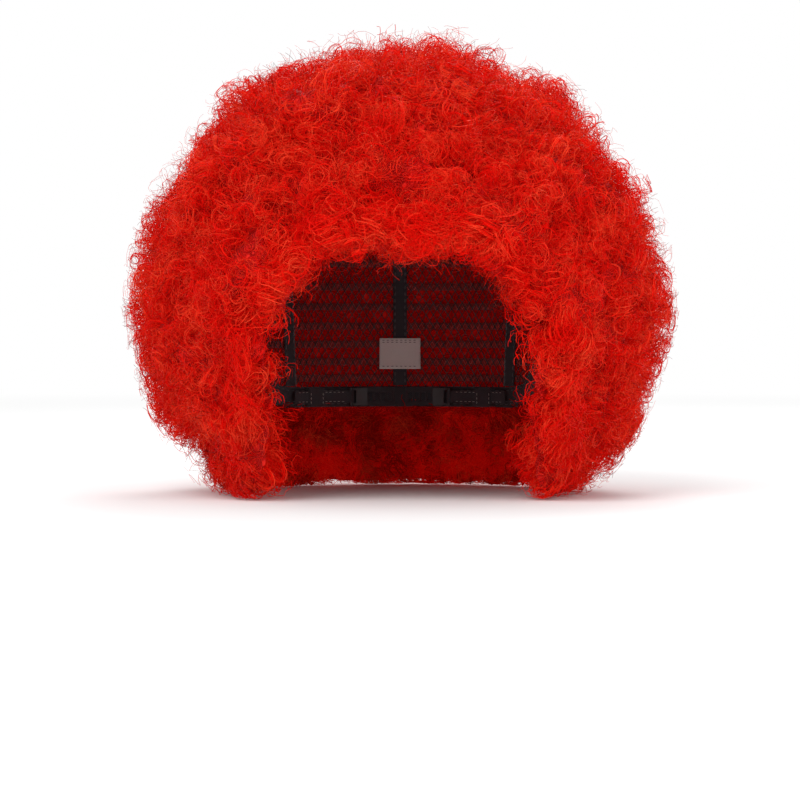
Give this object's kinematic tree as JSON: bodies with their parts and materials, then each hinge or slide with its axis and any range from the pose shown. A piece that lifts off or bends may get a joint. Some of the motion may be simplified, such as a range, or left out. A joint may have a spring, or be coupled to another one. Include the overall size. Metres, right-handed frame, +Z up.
{
  "type": "costume wig",
  "caption": "Big round bush of tightly curled hair on a wefted elastic cap, with an open face, folding ear tabs and hooked nape adjusters.",
  "frame": {"origin": "under the middle of the bush, on the plane the lowest hair rests on", "axes": "+Z up as worn; the face opening looks along -Y; the wearer's left is +X"},
  "size_m": [0.3, 0.3, 0.26],
  "materials": {
    "hair": "glossy crimped synthetic fibre",
    "weft_tape": "sewn ribbon",
    "elastic": "woven elastic",
    "net": "open stretch mesh",
    "lining": "soft brushed tape",
    "tab_cloth": "stitched cloth",
    "label": "blank woven satin",
    "plastic": "moulded"
  },
  "bodies": {
    "cap": {"cap_net": "net", "crown_patch": "elastic", "front_band": "elastic", "nape_band": "elastic", "forehead_lining": "lining", "rib_left": "elastic", "rib_back_left": "elastic", "rib_back": "elastic", "rib_back_right": "elastic", "rib_right": "elastic", "rib_front_right": "elastic", "rib_front": "elastic", "rib_front_left": "elastic", "weft_track_01": "weft_tape", "weft_track_02": "weft_tape", "weft_track_03": "weft_tape", "weft_track_04": "weft_tape", "weft_track_05": "weft_tape", "weft_track_06": "weft_tape", "weft_track_07": "weft_tape", "weft_track_08": "weft_tape", "weft_track_09": "weft_tape", "weft_track_10": "weft_tape", "weft_track_11": "weft_tape", "weft_track_12": "weft_tape", "fringe_track": "weft_tape", "hair_row_01": "hair", "hair_row_02": "hair", "hair_row_03": "hair", "hair_row_04": "hair", "hair_row_05": "hair", "hair_row_06": "hair", "hair_row_07": "hair", "hair_row_08": "hair", "hair_row_09": "hair", "hair_row_10": "hair", "hair_row_11": "hair", "hair_row_12": "hair", "hair_fringe": "hair", "slot_tape_left": "elastic", "slot_tape_right": "elastic", "strap_sleeve_left": "elastic", "strap_sleeve_right": "elastic"},
    "ear_tab_left": {"ear_tab_left": "tab_cloth"},
    "ear_tab_right": {"ear_tab_right": "tab_cloth"},
    "adjuster_left": {"adjuster_strap_left": "elastic"},
    "adjuster_right": {"adjuster_strap_right": "elastic"},
    "hook_left": {"strap_hook_left": "plastic"},
    "hook_right": {"strap_hook_right": "plastic"},
    "label": {"care_label": "label"}
  },
  "joints": [
    {"name": "ear_tab_left_fold", "type": "hinge", "parent": "cap", "child": "ear_tab_left", "pos_m": [0.08514, -0.0344, 0.0995], "axis": [0.3746, 0.9272, 0], "range_deg": [0, 60]},
    {"name": "ear_tab_right_fold", "type": "hinge", "parent": "cap", "child": "ear_tab_right", "pos_m": [-0.08514, -0.0344, 0.0995], "axis": [0.3746, -0.9272, 0], "range_deg": [0, 60]},
    {"name": "adjuster_left_slide", "type": "hinge", "parent": "cap", "child": "adjuster_left", "pos_m": [0, 0, 0.052], "axis": [0, 0, 1], "range_deg": [0, 10]},
    {"name": "hook_left_pivot", "type": "hinge", "parent": "adjuster_left", "child": "hook_left", "pos_m": [0.02845, 0.07903, 0.052], "axis": [0, 0, -1], "range_deg": [-35, 8]},
    {"name": "adjuster_right_slide", "type": "hinge", "parent": "cap", "child": "adjuster_right", "pos_m": [0, 0, 0.052], "axis": [0, 0, -1], "range_deg": [0, 10]},
    {"name": "hook_right_pivot", "type": "hinge", "parent": "adjuster_right", "child": "hook_right", "pos_m": [-0.02845, 0.07903, 0.052], "axis": [0, 0, 1], "range_deg": [-35, 8]},
    {"name": "label_flip", "type": "hinge", "parent": "cap", "child": "label", "pos_m": [0, 0.0883, 0.086], "axis": [-1, 0, 0], "range_deg": [0, 85]}
  ]
}
